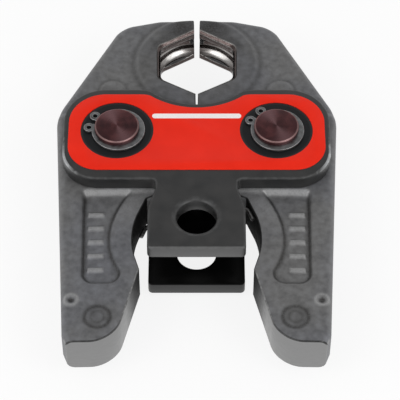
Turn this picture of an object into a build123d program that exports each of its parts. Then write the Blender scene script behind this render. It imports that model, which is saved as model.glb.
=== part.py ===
from build123d import *
import os
from math import asin, atan2, cos, degrees, hypot, pi, radians, sin

os.makedirs("parts", exist_ok=True)

# All lengths are millimetres. The origin is the centre of the locking pin bore, halfway between
# the two side plates. +Z leaves the front plate, +Y points to the mouth.

# Stack through the thickness
ARM_THICK = 15.9
ARM_SIDE_PLAY = 0.2
PLATE_THICK = 5.5
LABEL_THICK = 0.3
PIN_PROUD = 3.0
ARM_Z = ARM_THICK / 2
PLATE_IN = ARM_Z + ARM_SIDE_PLAY
PLATE_OUT = PLATE_IN + PLATE_THICK
PIN_END = PLATE_OUT + PIN_PROUD
CUT_OVER = 1.0
NEAR = 0.01

# Pivots
PIVOT_X = 28.65
PIVOT_Y = 38.8
PIN_R = 8.0
PIN_CHAMFER = 1.0
PIN_IN_PLATE = 0.02
PIN_IN_ARM = 0.05

# Retaining rings
RING_THICK = 1.0
GROOVE_WIDTH = 1.1
GROOVE_DEPTH = 0.4
GROOVE_R = PIN_R - GROOVE_DEPTH
RING_WALL = 2.0
RING_OFFSET = 0.5
LUG_OUT = 1.7
LUG_AT = GROOVE_R + LUG_OUT
LUG_R = 2.1
LUG_HOLE_R = 0.85
LUG_HALF_ANGLE = 19.0
LUG_GAP = 2.2
LUGS_FACE = 155.0

# Side plates
BORE_R = 7.0
BORE_CHAMFER = 1.0
TAB_HALF = 17.1
TAB_END = -13.8
TAB_TOP = 4.0
TAB_CORNER = 1.5
NECK_HALF = 14.6
NECK_TOP = 12.5
BAR_BELOW_PINS = 22.1
BAR_ABOVE_PINS = 19.8
BAR_BEYOND_PINS = 19.35
BAR_LOW = PIVOT_Y - BAR_BELOW_PINS
BAR_HIGH = PIVOT_Y + BAR_ABOVE_PINS
BAR_HALF = PIVOT_X + BAR_BEYOND_PINS
BAR_LOW_R = 13.0
BAR_HIGH_R = 15.0
DIP_DEPTH = 7.0
DIP_BLEND = 9.0
TAB_BLEND = 8.0
NOTCH_R = 1.6
PLATE_EDGE = 0.8

# Label on the bar
LABEL_MARGIN = 1.9
LABEL_LOW_MARGIN = 4.7
LABEL_HOLE_GAP = 1.2
LABEL_HOLE_R = LUG_AT + LUG_R + LABEL_HOLE_GAP

# Mouth, given with the jaw fully closed
MOUTH_Y = 76.8
MOUTH_FLATS = 25.8
MOUTH_LEAD = 1.2
MOUTH_LEAD_SLOPE = 45.0
BEAD_R = 17.4
BEAD_HALF = 4.9
RELIEF_R = 1.6
COLLAR_R = 21.5

# Arm outline, right arm with the jaw fully closed
REST_ANGLE = 1.0
FACE_GAP = 0.05
NOSE_Y = 99.2
NOSE_HALF = 13.0
NOSE_CORNER = (27.8, 96.0)
SHOULDER = (51.1, 52.3)
HEEL = (47.0, -44.5)
HEEL_LOW = (45.5, -48.5)
TOE = (29.2, -48.5)
CAM_MID = (24.2, -31.0)
CAM_TOP = (20.8, -18.5)
THROAT_LOW = (21.9, -14.5)
THROAT_MID = (23.2, -5.0)
THROAT_HIGH = (21.3, 5.1)
BOSS_GAP = 0.35
BOSS_R = PIVOT_X - BOSS_GAP
BOSS_MID_ANGLE = 205.0
BOSS_END_Y = 12.5
FACE_LOW_Y = 42.0
NOSE_ROUND = 7.0
SHOULDER_ROUND = 20.0
TOE_ROUND = 11.5
OUTER_ROUND = 2.5
CAM_EDGE = 0.5

# Forged relief on both faces of an arm
NOSE_RELIEF = 0.9
NOSE_RELIEF_Y = 50.0
MARK_PAD_R = 4.4
MARK_PAD = (30.6, 63.4)
PANEL_DEPTH = 1.3
PANEL_OVER = 0.5
PANEL_SLOPE = 45.0
PANEL_HIGH = 12.8
PANEL_LOW = -24.8
PANEL_OUT = 41.0
PANEL_HIGH_IN = 24.9
PANEL_MID_IN = (31.0, -3.0)
PANEL_LOW_IN = 27.8
PANEL_ROUND = 3.0
MARK_COUNT = 5
MARK_PITCH = 6.0
MARK_LENGTH = 5.6
MARK_WIDTH = 1.8
MARK_RISE = 0.5
MARK_AT = (36.0, -6.0)
STAMP_R = 4.7
STAMP_DEPTH = 0.4
STAMP = (34.9, -38.6)

# Closing spring and its post
POST_R = 2.6
POST_CHAMFER = 0.4
POST_DEPTH = 2.5
POST_END_GAP = 0.1
POST_IN_PLATE = 0.02
WIRE_R = 0.8
COIL_R = 3.6
COIL_PITCH = 1.75
COIL_TURNS = 4
COIL_TO_BOSS = 0.5
FOOT_LENGTH = 4.5
FOOT_GAP = 0.1
KNEE_R = 2.0


def nearest(shape, *points):
    """The corners of a flat shape that lie nearest to the given points."""
    corners = shape.vertices()
    return [min(corners, key=lambda v: hypot(v.X - x, v.Y - y)) for x, y in points]


def flat_face(*edges):
    """A flat face inside a closed run of edges."""
    return make_face(Wire(list(edges)))


def slab(face, low, high):
    """A flat face made solid between two heights."""
    return Pos(0, 0, low) * extrude(face, high - low, dir=(0, 0, 1))


def both_faces(cutter):
    """A cutter for the front face together with its copy for the rear face."""
    return [cutter, mirror(cutter, about=Plane.XY)]


def to_rest(shape):
    """Turn the closed right arm about its pin to where the spring leaves it."""
    return shape.rotate(Axis((PIVOT_X, PIVOT_Y, 0), (0, 0, 1)), -REST_ANGLE)


def rest_point(x, y):
    """A point of the closed right arm, where it lies at rest."""
    turn = radians(-REST_ANGLE)
    dx = x - PIVOT_X
    dy = y - PIVOT_Y
    return PIVOT_X + dx * cos(turn) - dy * sin(turn), PIVOT_Y + dx * sin(turn) + dy * cos(turn)


# Outline of an arm
def boss_corner():
    return PIVOT_X - BOSS_R * cos(asin((PIVOT_Y - BOSS_END_Y) / BOSS_R)), BOSS_END_Y


def arm_outline():
    boss_mid = radians(BOSS_MID_ANGLE)
    boss_mid_point = (PIVOT_X + BOSS_R * cos(boss_mid), PIVOT_Y + BOSS_R * sin(boss_mid))
    face = flat_face(
        Line((FACE_GAP, NOSE_Y), (NOSE_HALF, NOSE_Y)),
        Line((NOSE_HALF, NOSE_Y), NOSE_CORNER),
        Line(NOSE_CORNER, SHOULDER),
        Line(SHOULDER, HEEL),
        Line(HEEL, HEEL_LOW),
        Line(HEEL_LOW, TOE),
        ThreePointArc(TOE, CAM_MID, CAM_TOP),
        Line(CAM_TOP, THROAT_LOW),
        ThreePointArc(THROAT_LOW, THROAT_MID, THROAT_HIGH),
        Line(THROAT_HIGH, boss_corner()),
        ThreePointArc(boss_corner(), boss_mid_point, (PIVOT_X - BOSS_R, PIVOT_Y)),
        Line((PIVOT_X - BOSS_R, PIVOT_Y), (FACE_GAP, FACE_LOW_Y)),
        Line((FACE_GAP, FACE_LOW_Y), (FACE_GAP, NOSE_Y)),
    )
    face = fillet(nearest(face, SHOULDER), SHOULDER_ROUND)
    face = fillet(nearest(face, NOSE_CORNER, (NOSE_HALF, NOSE_Y)), NOSE_ROUND)
    face = fillet(nearest(face, TOE), TOE_ROUND)
    return face


# Mouth for the fitting: two six-sided lands with a round groove for the bead between them
def mouth_cutters():
    hexagon = RegularPolygon(MOUTH_FLATS / 2, 6, major_radius=False, rotation=30)
    bore = slab(hexagon.face(), -ARM_Z - CUT_OVER, ARM_Z + CUT_OVER)
    lead = extrude(hexagon.face(), 2 * MOUTH_LEAD, dir=(0, 0, 1), taper=-MOUTH_LEAD_SLOPE)
    lead = Pos(0, 0, ARM_Z - MOUTH_LEAD) * lead
    bead = Torus(BEAD_R - BEAD_HALF, BEAD_HALF)
    relief = Cylinder(RELIEF_R, 2 * BEAD_R, rotation=(90, 0, 0))
    return [Pos(0, MOUTH_Y, 0) * tool for tool in [bore, *both_faces(lead), bead, relief]]


# Shallow forged relief around the collar of the mouth, with one round mark left standing
def nose_relief():
    floor_z = ARM_Z - NOSE_RELIEF
    length = NOSE_Y + CUT_OVER - NOSE_RELIEF_Y
    area = Pos(0, NOSE_RELIEF_Y + length / 2) * Rectangle(4 * SHOULDER[0], length)
    cutter = slab(area.face(), floor_z, ARM_Z + CUT_OVER)
    for (x, y), radius in (((0, MOUTH_Y), COLLAR_R), (MARK_PAD, MARK_PAD_R)):
        foot = Pos(x, y, floor_z + NOSE_RELIEF / 2) * Cone(radius + NOSE_RELIEF, radius, NOSE_RELIEF)
        cutter -= foot + Pos(x, y, ARM_Z + CUT_OVER / 2) * Cylinder(radius, CUT_OVER)
    return cutter


# Sunk panel on the lower arm with plain raised bars on its floor
def panel():
    face = flat_face(
        Line((PANEL_HIGH_IN, PANEL_HIGH), (PANEL_OUT, PANEL_HIGH)),
        Line((PANEL_OUT, PANEL_HIGH), (PANEL_OUT, PANEL_LOW)),
        Line((PANEL_OUT, PANEL_LOW), (PANEL_LOW_IN, PANEL_LOW)),
        ThreePointArc((PANEL_LOW_IN, PANEL_LOW), PANEL_MID_IN, (PANEL_HIGH_IN, PANEL_HIGH)),
    )
    face = fillet(face.vertices(), PANEL_ROUND)
    floor_z = ARM_Z - PANEL_DEPTH
    cutter = extrude(face, PANEL_DEPTH + PANEL_OVER, dir=(0, 0, 1), taper=-PANEL_SLOPE)
    cutter = Pos(0, 0, floor_z) * cutter
    for n in range(MARK_COUNT):
        y = MARK_AT[1] + MARK_PITCH * (n - (MARK_COUNT - 1) / 2)
        cutter -= Pos(MARK_AT[0], y, floor_z) * Box(MARK_LENGTH, MARK_WIDTH, 2 * MARK_RISE)
    return cutter


def face_edges(body):
    """The edges that bound the front and the rear face of an arm."""
    return [e for e in body.edges() if abs(abs(e.center().Z) - ARM_Z) < NEAR]


def is_forged_side(point):
    """True on the outer side of an arm, from the nose round the shoulder to the heel."""
    at_nose = point.Y > NOSE_CORNER[1] - NOSE_ROUND
    at_shoulder = point.Y > BOSS_END_Y and point.X > NOSE_CORNER[0]
    return at_nose or at_shoulder or point.X > HEEL_LOW[0]


def is_cam_side(point):
    """True on the inner side and the end of the lower arm, where the roller of the tool runs."""
    return point.X < HEEL_LOW[0] and point.Y < BOSS_END_Y


def jaw_arm():
    body = slab(arm_outline(), -ARM_Z, ARM_Z)
    body = fillet([e for e in face_edges(body) if is_forged_side(e.center())], OUTER_ROUND)
    body = chamfer([e for e in face_edges(body) if is_cam_side(e.center())], CAM_EDGE)
    for cutter in both_faces(nose_relief()) + both_faces(panel()):
        body -= cutter
    stamp = Pos(*STAMP, ARM_Z) * Cylinder(STAMP_R, 2 * STAMP_DEPTH)
    for cutter in mouth_cutters() + both_faces(stamp):
        body -= cutter
    body -= Pos(PIVOT_X, PIVOT_Y, 0) * Cylinder(PIN_R + PIN_IN_ARM, 2 * ARM_THICK)
    return to_rest(body)


# Outline of a side plate: a bar over the two pins and a tab for the locking pin
def plate_outline():
    dip_low = BAR_HIGH - DIP_DEPTH
    dip_r = rest_point(0, MOUTH_Y)[1] - dip_low
    dip_half = (dip_r**2 - (dip_r - DIP_DEPTH) ** 2) ** 0.5
    half = [
        (TAB_HALF, TAB_END),
        (TAB_HALF, TAB_TOP),
        (NECK_HALF, NECK_TOP),
        (NECK_HALF, BAR_LOW),
        (BAR_HALF, BAR_LOW),
        (BAR_HALF, BAR_HIGH),
        (dip_half, BAR_HIGH),
    ]
    other = [(-x, y) for x, y in reversed(half)]
    edges = [Line(a, b) for a, b in zip(half, half[1:])]
    edges.append(ThreePointArc(half[-1], (0, dip_low), other[0]))
    edges += [Line(a, b) for a, b in zip(other, other[1:])]
    edges.append(Line(other[-1], half[0]))
    face = flat_face(*edges)
    rounds = {
        TAB_CORNER: (TAB_HALF, TAB_END),
        TAB_BLEND: (TAB_HALF, TAB_TOP),
        NOTCH_R: (NECK_HALF, BAR_LOW),
        BAR_LOW_R: (BAR_HALF, BAR_LOW),
        BAR_HIGH_R: (BAR_HALF, BAR_HIGH),
        DIP_BLEND: (dip_half, BAR_HIGH),
    }
    for radius, (x, y) in rounds.items():
        face = fillet(nearest(face, (x, y), (-x, y)), radius)
    return face


def side_plate():
    plate = slab(plate_outline(), PLATE_IN, PLATE_OUT)
    outer_edges = [e for e in plate.edges() if abs(e.center().Z - PLATE_OUT) < NEAR]
    plate = chamfer(outer_edges, PLATE_EDGE)
    for side in (-1, 1):
        plate -= Pos(side * PIVOT_X, PIVOT_Y, PLATE_IN) * Cylinder(PIN_R + PIN_IN_PLATE, 3 * PLATE_THICK)
    plate -= Pos(0, 0, PLATE_IN) * Cylinder(BORE_R, 3 * PLATE_THICK)
    plate -= Pos(0, 0, PLATE_OUT - BORE_CHAMFER / 2) * Cone(BORE_R, BORE_R + BORE_CHAMFER, BORE_CHAMFER)
    plate -= Pos(0, post_y(), PLATE_IN) * Cylinder(POST_R + POST_IN_PLATE, 2 * POST_DEPTH)
    return plate


def pivot_pin():
    pin = Cylinder(PIN_R, 2 * PIN_END)
    pin = chamfer(pin.edges().filter_by(GeomType.CIRCLE), PIN_CHAMFER)
    groove = Cylinder(PIN_R + CUT_OVER, GROOVE_WIDTH) - Cylinder(GROOVE_R, GROOVE_WIDTH)
    for cutter in both_faces(Pos(0, 0, PLATE_OUT + GROOVE_WIDTH / 2) * groove):
        pin -= cutter
    return Pos(PIVOT_X, PIVOT_Y, 0) * pin


# Retaining ring: widest opposite its gap, with a round lug and a plier hole at each end
def circlip():
    ring = Pos(-RING_OFFSET, 0) * Circle(GROOVE_R + RING_WALL)
    for side in (-1, 1):
        lug = Rot(0, 0, side * LUG_HALF_ANGLE) * Pos(LUG_AT, 0)
        ring += lug * Circle(LUG_R)
    ring -= Circle(GROOVE_R)
    ring -= Pos(LUG_AT, 0) * Rectangle(2 * LUG_AT, LUG_GAP)
    for side in (-1, 1):
        lug = Rot(0, 0, side * LUG_HALF_ANGLE) * Pos(LUG_AT, 0)
        ring -= lug * Circle(LUG_HOLE_R)
    clip = extrude(ring, RING_THICK)
    return Pos(0, PIVOT_Y, PLATE_OUT) * Rot(0, 0, LUGS_FACE) * clip


def label():
    low = BAR_LOW + LABEL_LOW_MARGIN
    high = BAR_HIGH - LABEL_MARGIN
    half = BAR_HALF - LABEL_MARGIN
    dip_low = BAR_HIGH - DIP_DEPTH - LABEL_MARGIN / 2
    dip_r = rest_point(0, MOUTH_Y)[1] - dip_low
    dip_half = (dip_r**2 - (dip_r - high + dip_low) ** 2) ** 0.5
    face = flat_face(
        Line((-half, low), (half, low)),
        Line((half, low), (half, high)),
        Line((half, high), (dip_half, high)),
        ThreePointArc((dip_half, high), (0, dip_low), (-dip_half, high)),
        Line((-dip_half, high), (-half, high)),
        Line((-half, high), (-half, low)),
    )
    face = fillet(nearest(face, (half, low), (-half, low)), BAR_LOW_R - LABEL_MARGIN)
    face = fillet(nearest(face, (half, high), (-half, high)), BAR_HIGH_R - LABEL_MARGIN)
    face = fillet(nearest(face, (dip_half, high), (-dip_half, high)), DIP_BLEND - LABEL_MARGIN)
    sheet = slab(face, PLATE_OUT, PLATE_OUT + LABEL_THICK)
    for side in (-1, 1):
        sheet -= Pos(side * PIVOT_X, PIVOT_Y, PLATE_OUT) * Cylinder(LABEL_HOLE_R, 4 * LABEL_THICK)
    return sheet


# The coil lies as high between the two arm bosses as they allow, and the post in its lower side
def coil_y():
    reach = BOSS_R + COIL_R + WIRE_R + COIL_TO_BOSS
    return PIVOT_Y - (reach**2 - PIVOT_X**2) ** 0.5


def post_y():
    return coil_y() - (COIL_R - WIRE_R - POST_R)


def spring_post():
    length = 2 * (PLATE_IN + POST_DEPTH - POST_END_GAP)
    post = Cylinder(POST_R, length)
    post = chamfer(post.edges().filter_by(GeomType.CIRCLE), POST_CHAMFER)
    return Pos(0, post_y(), 0) * post


# Leg spring: a coil on the post and two legs whose feet lie against the arms
def closing_spring():
    centre_y = coil_y()
    throat = Vector(*rest_point(*THROAT_HIGH))
    boss = Vector(*rest_point(*boss_corner()))
    along = (throat - boss).normalized()
    away = Vector(along.Y, -along.X)
    foot_end = throat + away * (WIRE_R + FOOT_GAP)
    knee = foot_end - along * FOOT_LENGTH

    reach = hypot(knee.X, knee.Y - centre_y)
    heading = atan2(knee.Y - centre_y, knee.X) + asin(COIL_R / reach)
    leave = heading - radians(90)
    whole_turns = COIL_TURNS + (degrees(leave) + 90) / 180
    height = COIL_PITCH * whole_turns
    climb = COIL_PITCH / (2 * pi * COIL_R)

    start = Vector(COIL_R * cos(leave), centre_y + COIL_R * sin(leave), height / 2)
    level = start.Z + climb * hypot(knee.X - start.X, knee.Y - start.Y)
    path = FilletPolyline(
        start,
        Vector(knee.X, knee.Y, level),
        Vector(foot_end.X, foot_end.Y, level),
        radius=KNEE_R,
    )
    leg = sweep(Plane(start, z_dir=path % 0) * Circle(WIRE_R), path)

    helix = Helix(COIL_PITCH, height, COIL_R)
    coil = sweep(Plane(helix @ 0, z_dir=helix % 0) * Circle(WIRE_R), helix, is_frenet=True)
    coil = Pos(0, centre_y, -height / 2) * Rot(0, 0, 180 - degrees(leave)) * coil
    return coil + leg + Rot(0, 180, 0) * leg


right_arm = jaw_arm()
front_plate = side_plate()
right_pin = pivot_pin()
ring = circlip()
left_ring = Pos(-PIVOT_X, 0, 0) * ring
right_ring = Pos(PIVOT_X, 0, 0) * ring

pieces = {
    "left_jaw_arm": mirror(right_arm, about=Plane.YZ),
    "right_jaw_arm": right_arm,
    "front_side_plate": front_plate,
    "rear_side_plate": mirror(front_plate, about=Plane.XY),
    "left_pivot_pin": mirror(right_pin, about=Plane.YZ),
    "right_pivot_pin": right_pin,
    "front_left_circlip": left_ring,
    "front_right_circlip": right_ring,
    "rear_left_circlip": mirror(left_ring, about=Plane.XY),
    "rear_right_circlip": mirror(right_ring, about=Plane.XY),
    "front_label": label(),
    "spring_post": spring_post(),
    "closing_spring": closing_spring(),
}

for name, piece in pieces.items():
    export_step(piece, f"parts/{name}.step")
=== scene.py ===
from math import asin, atan2, cos, exp, hypot, pi, radians, sin, tan, tau

import bmesh
import bpy
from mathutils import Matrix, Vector


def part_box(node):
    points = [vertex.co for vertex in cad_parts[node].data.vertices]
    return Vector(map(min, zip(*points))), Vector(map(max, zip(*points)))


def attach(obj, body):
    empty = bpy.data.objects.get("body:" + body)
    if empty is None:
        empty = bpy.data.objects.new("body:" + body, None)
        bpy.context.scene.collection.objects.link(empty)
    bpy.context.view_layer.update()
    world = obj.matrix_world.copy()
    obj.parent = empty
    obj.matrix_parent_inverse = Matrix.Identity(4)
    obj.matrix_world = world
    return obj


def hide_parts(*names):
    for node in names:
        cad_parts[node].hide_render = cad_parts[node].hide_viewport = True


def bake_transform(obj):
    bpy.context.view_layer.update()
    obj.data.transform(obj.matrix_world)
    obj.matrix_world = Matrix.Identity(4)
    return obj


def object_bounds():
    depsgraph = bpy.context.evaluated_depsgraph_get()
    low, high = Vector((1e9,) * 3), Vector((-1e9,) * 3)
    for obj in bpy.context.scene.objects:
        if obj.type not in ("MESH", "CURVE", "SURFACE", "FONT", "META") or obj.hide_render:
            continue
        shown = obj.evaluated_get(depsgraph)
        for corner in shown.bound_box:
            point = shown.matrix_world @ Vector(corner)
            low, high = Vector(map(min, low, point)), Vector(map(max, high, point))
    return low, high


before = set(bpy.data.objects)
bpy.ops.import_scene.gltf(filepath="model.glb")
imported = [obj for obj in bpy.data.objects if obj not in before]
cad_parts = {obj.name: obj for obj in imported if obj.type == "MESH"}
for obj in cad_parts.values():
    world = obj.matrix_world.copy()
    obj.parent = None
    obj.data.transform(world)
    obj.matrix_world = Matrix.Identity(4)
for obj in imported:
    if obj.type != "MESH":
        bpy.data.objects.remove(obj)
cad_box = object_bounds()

mm = 0.001


# Rear side plate
# One of the two T-shaped plates that carry the arms and take the load of the press.
# Cut from thick steel plate, edges broken all round, blackened in hot oil.

SAME = 0.01 * mm
NEAR = 0.1 * mm
DOUBLED = 0.02 * mm


def deselect():
    bpy.ops.object.select_all(action="DESELECT")


def work_on(piece):
    """Make a piece the only one that the next commands act on."""
    deselect()
    piece.select_set(True)
    bpy.context.view_layer.objects.active = piece


def point_mm(x, y):
    return x * mm, y * mm


def arc_through(start, middle, end):
    """Centre and signed angle of the arc that runs from start to end through middle."""
    (ax, ay), (bx, by), (cx, cy) = start, middle, end
    a2, b2, c2 = ax**2 + ay**2, bx**2 + by**2, cx**2 + cy**2
    d = 2 * (ax * (by - cy) + bx * (cy - ay) + cx * (ay - by))
    ux = (a2 * (by - cy) + b2 * (cy - ay) + c2 * (ay - by)) / d
    uy = (a2 * (cx - bx) + b2 * (ax - cx) + c2 * (bx - ax)) / d
    first = atan2(ay - uy, ax - ux)
    turn = (atan2(cy - uy, cx - ux) - first) % tau
    if (atan2(by - uy, bx - ux) - first) % tau > turn:
        turn -= tau
    return (ux, uy), turn


def trace(name, start, path, z):
    """A flat face whose outline is drawn point by point: straight runs by extrude, arcs by spin."""
    deselect()
    bpy.ops.mesh.primitive_plane_add(size=mm, location=(*start, z))
    piece = bpy.context.object
    piece.name = piece.data.name = name
    bpy.ops.object.transform_apply(location=True)
    bpy.ops.object.mode_set(mode="EDIT")
    bpy.ops.mesh.select_mode(type="VERT")
    bpy.ops.mesh.select_all(action="SELECT")
    bpy.ops.mesh.merge(type="CENTER")
    here = start
    for step in path:
        if len(step) == 2:
            move = (step[0] - here[0], step[1] - here[1], 0)
            bpy.ops.mesh.extrude_region_move(TRANSFORM_OT_translate={"value": move})
            here = step
        else:
            middle, end, steps = step
            centre, turn = arc_through(here, middle, end)
            bpy.ops.mesh.spin(steps=steps, angle=-turn, center=(*centre, z), axis=(0, 0, 1))
            here = end
    bpy.ops.mesh.select_all(action="SELECT")
    bpy.ops.mesh.remove_doubles(threshold=SAME)
    bpy.ops.mesh.edge_face_add()
    return piece


def raise_to(height):
    """Make the traced face solid, in edit mode."""
    bpy.ops.mesh.select_all(action="SELECT")
    bpy.ops.mesh.extrude_region_move(TRANSFORM_OT_translate={"value": (0, 0, height)})
    bpy.ops.mesh.select_all(action="SELECT")
    bpy.ops.mesh.normals_make_consistent(inside=False)


def pick(piece, test, kind="edges"):
    """Select the edges, faces or verts of a piece that pass a test, in edit mode."""
    bpy.ops.mesh.select_mode(type={"edges": "EDGE", "faces": "FACE", "verts": "VERT"}[kind])
    bpy.ops.mesh.select_all(action="DESELECT")
    form = bmesh.from_edit_mesh(piece.data)
    for item in getattr(form, kind):
        if test(item):
            item.select_set(True)
    form.select_flush_mode()
    bmesh.update_edit_mesh(piece.data)


def mid(edge):
    return (edge.verts[0].co + edge.verts[1].co) / 2


def is_upright(edge):
    run = edge.verts[0].co - edge.verts[1].co
    return abs(run.z) > 0.9 * run.length


def is_sharp(edge, least=25):
    return edge.is_manifold and edge.calc_face_angle(0) > radians(least)


def round_corner(piece, places, radius, segments):
    """Round the upright edges of an outline that stand at the given places."""
    pick(piece, lambda e: is_upright(e) and any((mid(e).xy - Vector(p)).length < NEAR for p in places))
    corner = next(e for e in bmesh.from_edit_mesh(piece.data).edges if e.select)
    offset = radius * tan(corner.calc_face_angle() / 2)
    bpy.ops.mesh.bevel(offset=offset, segments=segments, affect="EDGES", clamp_overlap=False)


def cut(piece, cutter, operation="DIFFERENCE"):
    """Take a cutter out of a piece, or join it on, and delete the cutter."""
    work_on(piece)
    step = piece.modifiers.new("cut", "BOOLEAN")
    step.object = cutter
    step.operation = operation
    step.solver = "EXACT"
    bpy.ops.object.modifier_apply(modifier=step.name)
    bpy.data.objects.remove(cutter)


def drill(piece, x, y, radius, low, high, vertices=96, operation="DIFFERENCE"):
    """Take an upright round bar out of a piece, or join it on."""
    deselect()
    place = (x, y, (low + high) / 2)
    depth = high - low
    bpy.ops.mesh.primitive_cylinder_add(vertices=vertices, radius=radius, depth=depth, location=place)
    cut(piece, bpy.context.object, operation)


def tidy_mesh(piece):
    """Merge what the cuts left doubled and join flat faces again, in edit mode."""
    bpy.ops.mesh.select_all(action="SELECT")
    bpy.ops.mesh.remove_doubles(threshold=DOUBLED)
    bpy.ops.mesh.dissolve_limited(angle_limit=radians(1))


def smooth(piece, angle=30):
    """Shade smooth, apart from edges sharper than an angle in degrees."""
    work_on(piece)
    bpy.ops.object.shade_smooth_by_angle(angle=radians(angle))


PLATE_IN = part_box("rear_side_plate")[1].z
PLATE_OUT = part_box("rear_side_plate")[0].z
PIVOT_X = 28.65 * mm
PIVOT_Y = 38.8 * mm
PIN_R = 8.0 * mm
BORE_R = 7.0 * mm
BORE_CHAMFER = 1.0 * mm
PLATE_EDGE = 0.8 * mm
SMALL_EDGE = 0.25 * mm
TAB_HALF = 17.1 * mm
TAB_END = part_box("rear_side_plate")[0].y
TAB_TOP = 4.0 * mm
TAB_CORNER = 1.5 * mm
TAB_BLEND = 8.0 * mm
NOTCH_R = 1.6 * mm
NECK_HALF = 14.6 * mm
NECK_TOP = 12.5 * mm
BAR_LOW = 16.7 * mm
BAR_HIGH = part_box("rear_side_plate")[1].y
BAR_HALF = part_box("rear_side_plate")[1].x
BAR_LOW_R = 13.0 * mm
BAR_HIGH_R = 15.0 * mm
DIP_DEPTH = 7.0 * mm
DIP_BLEND = 9.0 * mm
MOUTH_REST_Y = 77.3 * mm
post_low, post_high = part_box("spring_post")
POST_R = (post_high.x - post_low.x) / 2
POST_Y = (post_high.y + post_low.y) / 2


def bar_points(low, high, half, dip_low):
    """Corners of the bar's right side from its low end, and where the dip for the mouth starts."""
    dip_r = MOUTH_REST_Y - dip_low
    dip_half = (dip_r**2 - (MOUTH_REST_Y - high) ** 2) ** 0.5
    return (half, low), (half, high), (dip_half, high)


low_corner, high_corner, dip_start = bar_points(BAR_LOW, BAR_HIGH, BAR_HALF, BAR_HIGH - DIP_DEPTH)
right_side = [(TAB_HALF, TAB_END), (TAB_HALF, TAB_TOP), (NECK_HALF, NECK_TOP), (NECK_HALF, BAR_LOW)]
right_side += [low_corner, high_corner, dip_start]
left_side = [(-x, y) for x, y in reversed(right_side)]
dip = ((0, BAR_HIGH - DIP_DEPTH), left_side[0], 24)
rear_plate = trace("rear_plate", right_side[0], right_side[1:] + [dip] + left_side[1:], PLATE_OUT)
raise_to(PLATE_IN - PLATE_OUT)
for corner, radius, segments in (
    ((TAB_HALF, TAB_END), TAB_CORNER, 4),
    ((TAB_HALF, TAB_TOP), TAB_BLEND, 5),
    ((NECK_HALF, BAR_LOW), NOTCH_R, 6),
    (low_corner, BAR_LOW_R, 16),
    (high_corner, BAR_HIGH_R, 16),
    (dip_start, DIP_BLEND, 8),
):
    round_corner(rear_plate, [corner, (-corner[0], corner[1])], radius, segments)
bpy.ops.object.mode_set(mode="OBJECT")
for x, y, radius in ((-PIVOT_X, PIVOT_Y, PIN_R), (PIVOT_X, PIVOT_Y, PIN_R), (0, 0, BORE_R)):
    drill(rear_plate, x, y, radius, PLATE_OUT - mm, PLATE_IN + mm, 64)
drill(rear_plate, 0, POST_Y, POST_R, post_low.z, PLATE_IN + mm, 24)
bpy.ops.object.mode_set(mode="EDIT")
tidy_mesh(rear_plate)


def on_level(edge, z):
    return all(abs(v.co.z - z) < SAME for v in edge.verts)


def is_bore(edge):
    return mid(edge).xy.length < BORE_R + NEAR


def is_pin_hole(edge):
    side = PIVOT_X if mid(edge).x > 0 else -PIVOT_X
    return (mid(edge).xy - Vector((side, PIVOT_Y))).length < PIN_R + NEAR


def open_slots(piece, count):
    """Empty material slots, which bevels number their new faces by."""
    for number in range(count):
        piece.data.materials.append(None)


def is_outer_rim(edge):
    return is_sharp(edge) and on_level(edge, PLATE_OUT) and not is_bore(edge) and not is_pin_hole(edge)


BLACK, RUBBED_AND_HIGHLIT = range(2)
open_slots(rear_plate, 2)
pick(rear_plate, lambda e: is_sharp(e) and is_bore(e) and on_level(e, PLATE_OUT))
bpy.ops.mesh.bevel(offset=BORE_CHAMFER, segments=1, affect="EDGES")
pick(rear_plate, is_outer_rim)
bpy.ops.mesh.bevel(offset=PLATE_EDGE, segments=4, affect="EDGES", material=RUBBED_AND_HIGHLIT)
pick(rear_plate, lambda e: is_sharp(e, 40) and not is_upright(e) and not is_pin_hole(e))
bpy.ops.mesh.bevel(offset=SMALL_EDGE, segments=2, affect="EDGES")
bpy.ops.object.mode_set(mode="OBJECT")
smooth(rear_plate)


def new_finish(name, colour, metallic, roughness):
    """A shader with its uniform values set, and its node tree to add to."""
    finish = bpy.data.materials.new(name)
    finish.use_nodes = True
    tree = finish.node_tree
    shader = tree.nodes["Principled BSDF"]
    shader.inputs["Base Color"].default_value = (*colour, 1)
    shader.inputs["Metallic"].default_value = metallic
    shader.inputs["Roughness"].default_value = roughness
    return finish, tree, shader


def add(tree, kind, **settings):
    """A shader node with its sockets and properties set by name."""
    node = tree.nodes.new("ShaderNode" + kind)
    for key, value in settings.items():
        if key in node.inputs:
            node.inputs[key].default_value = value
        else:
            setattr(node, key, value)
    return node


def sum_of(tree, operation, first, second):
    """A sum on one or two values, each a socket or a number."""
    node = add(tree, "Math", operation=operation)
    for socket, value in zip(node.inputs, (first, second)):
        if isinstance(value, (int, float)):
            socket.default_value = value
        else:
            tree.links.new(value, socket)
    return node.outputs[0]


def object_place(tree, stretch=(1, 1, 1), offset=(0, 0, 0)):
    """Object coordinates through a mapping, for a pattern that is drawn out or centred on a place."""
    coordinate = add(tree, "TexCoord")
    mapping = add(tree, "Mapping", Scale=stretch, Location=offset)
    tree.links.new(coordinate.outputs["Object"], mapping.inputs["Vector"])
    return mapping.outputs["Vector"]


def axes_of(tree, place):
    """The X, Y and Z of a place as single values."""
    split = add(tree, "SeparateXYZ")
    tree.links.new(place, split.inputs["Vector"])
    return split.outputs[0], split.outputs[1], split.outputs[2]


def cloud(tree, place, size, detail=4.0):
    """Soft noise whose blotches are about the given size."""
    noise = add(tree, "TexNoise", Scale=1 / size, Detail=detail)
    tree.links.new(place, noise.inputs["Vector"])
    return noise.outputs["Fac"]


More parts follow.
